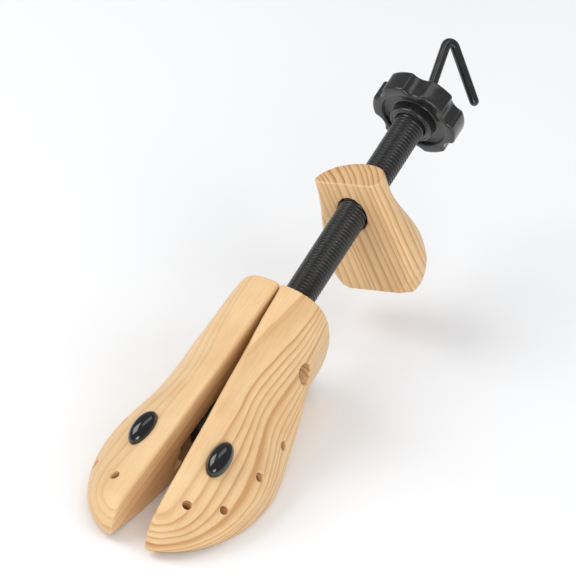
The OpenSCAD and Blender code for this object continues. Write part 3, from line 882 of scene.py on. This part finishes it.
BLACKED = metal("blacked_steel", (0.10, 0.10, 0.105), rough=0.38, brush=(1.0, 0.5, 1.0),
                tarnish=(0.05, 0.045, 0.04))
SPRING = metal("spring_wire", (0.42, 0.42, 0.42), rough=0.28)
BRASS = metal("nut_brass", (0.72, 0.52, 0.26), rough=0.33, brush=(0.5, 0.5, 1.5),
              tarnish=(0.35, 0.22, 0.10))

for ob, mat in ((toe_right, PINE_R), (toe_left, PINE_L), (heel, PINE_H), (tube, THREAD),
                (knob, GLOSS), (hook, LACQUER), (plug_right, SHINE), (plug_left, SHINE),
                (coils[0], SPRING), (coils[1], SPRING)):
    ob.data.materials.clear()
    ob.data.materials.append(mat)

# CAD pieces that stay, with eased edges
KEPT = {
    "hinge_leaf_left": ZINC, "hinge_leaf_right": ZINC, "hinge_screws_left": ZINC,
    "hinge_screws_right": ZINC, "pivot_yoke": ZINC, "hinge_pin": ZINC, "cross_bolt": BLACKED,
    "cross_nut": BLACKED, "bolt_washers": ZINC, "tube_clips": SPRING, "wheel_pins": SPRING,
    "rod_bush_front": NYLON, "rod_bush_rear": NYLON, "rod_collar": BLACKED,
    "rod_clip": SPRING, "spreader_wedge": MATT, "heel_nut": BRASS}
for name, mat in KEPT.items():
    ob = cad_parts[name]
    if not ob.material_slots:
        ob.data.materials.append(mat)
    for slot in ob.material_slots:
        slot.link = "OBJECT"
        slot.material = mat
    weld = ob.modifiers.new("join", "WELD")
    weld.merge_threshold = 2e-6
    bevel = ob.modifiers.new("edges", "BEVEL")
    bevel.width = 0.18 * MM
    bevel.segments = 2
    bevel.limit_method = "ANGLE"
    bevel.angle_limit = radians(35)
    bevel.use_clamp_overlap = True


# ---------------------------------------------------------------- floor, camera and lights, in metres
def make_floor():
    mesh = bpy.data.meshes.new("floor")
    work = bmesh.new()
    bmesh.ops.create_grid(work, x_segments=1, y_segments=1, size=6.0)
    work.to_mesh(mesh)
    work.free()
    ob = bpy.data.objects.new("floor", mesh)
    bpy.context.scene.collection.objects.link(ob)
    ob.location = (0, 0, -0.0002)
    white = Shader("floor_white")
    white.surface({"Base Color": (0.889, 0.90, 0.918, 1), "Roughness": 0.75,
                   "Specular IOR Level": 0.15})
    mesh.materials.append(white.mat)


# the camera's axes
RIGHT = Vector((0.87956, 0.46185, 0.11107))
UP = Vector((-0.35351, 0.48031, 0.80225))
TO_CAM = Vector((0.31717, -0.74489, 0.58573))
CAM_DIST, MARGIN, SENSOR = 3.2, 1.12, 36


def make_camera():
    """Centred on the CAD pieces as seen along TO_CAM, with a margin round them."""
    pts = np.concatenate([read_points(node.data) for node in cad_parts.values()])
    across, upward = pts @ np.array(RIGHT), pts @ np.array(UP)
    target = (RIGHT * ((across.min() + across.max()) / 2)
              + UP * ((upward.min() + upward.max()) / 2)
              + TO_CAM * float(np.mean(pts @ np.array(TO_CAM))))
    span = max(np.ptp(across), np.ptp(upward)) * MARGIN
    camera = bpy.data.cameras.new("camera")
    ob = bpy.data.objects.new("camera", camera)
    bpy.context.scene.collection.objects.link(ob)
    camera.sensor_width = SENSOR
    camera.lens = SENSOR * CAM_DIST / span
    camera.clip_start, camera.clip_end = 0.05, 20
    ob.matrix_world = Matrix((RIGHT, UP, TO_CAM)).transposed().to_4x4()
    ob.location = target + TO_CAM * CAM_DIST
    bpy.context.scene.camera = ob


CENTRE = (Vector(CAD_BOX[0]) + Vector(CAD_BOX[1])) / 2


def lamp(name, offset, size, power, colour=(1, 1, 1)):
    """A rectangular light at an offset from the centre, facing it."""
    light = bpy.data.lights.new(name, "AREA")
    light.shape = "RECTANGLE"
    light.size, light.size_y = size
    light.energy = power
    light.color = colour
    ob = bpy.data.objects.new(name, light)
    bpy.context.scene.collection.objects.link(ob)
    ob.location = CENTRE + offset
    ob.rotation_mode = "QUATERNION"
    ob.rotation_quaternion = (CENTRE + offset - CENTRE).to_track_quat("Z", "Y")
    return ob


def make_lights():
    key = (TO_CAM * 0.42 - RIGHT * 0.62 + UP * 0.66).normalized()
    front = (TO_CAM * 0.92 - UP * 0.30 + RIGHT * 0.06).normalized()
    fill = (TO_CAM * 0.62 + RIGHT * 0.72 + UP * 0.05).normalized()
    lamp("key", key * 1.25, size=(0.8, 0.8), power=7.4, colour=(1.0, 0.992, 0.98))
    lamp("front", front * 1.4, size=(0.7, 0.5), power=5.0)
    lamp("fill", fill * 1.5, size=(1.1, 0.8), power=4.6).visible_glossy = False
    lamp("top", Vector((0.15, 0.35, 1.25)), size=(0.5, 1.1), power=2.2)


def make_world():
    """White all round, dimmer in reflections."""
    world = bpy.data.worlds.new("studio")
    bpy.context.scene.world = world
    world.use_nodes = True
    nodes, links = world.node_tree.nodes, world.node_tree.links
    background = next(n for n in nodes if n.type == "BACKGROUND")
    path = nodes.new("ShaderNodeLightPath")
    strength = nodes.new("ShaderNodeMix")
    strength.data_type = "FLOAT"
    links.new(path.outputs["Is Glossy Ray"], strength.inputs[0])
    strength.inputs[2].default_value = 0.58
    strength.inputs[3].default_value = 0.24
    links.new(strength.outputs[0], background.inputs["Strength"])
    background.inputs["Color"].default_value = (1, 1, 1, 1)


make_floor()
make_camera()
make_lights()
make_world()
bpy.context.scene.view_settings.view_transform = "Standard"
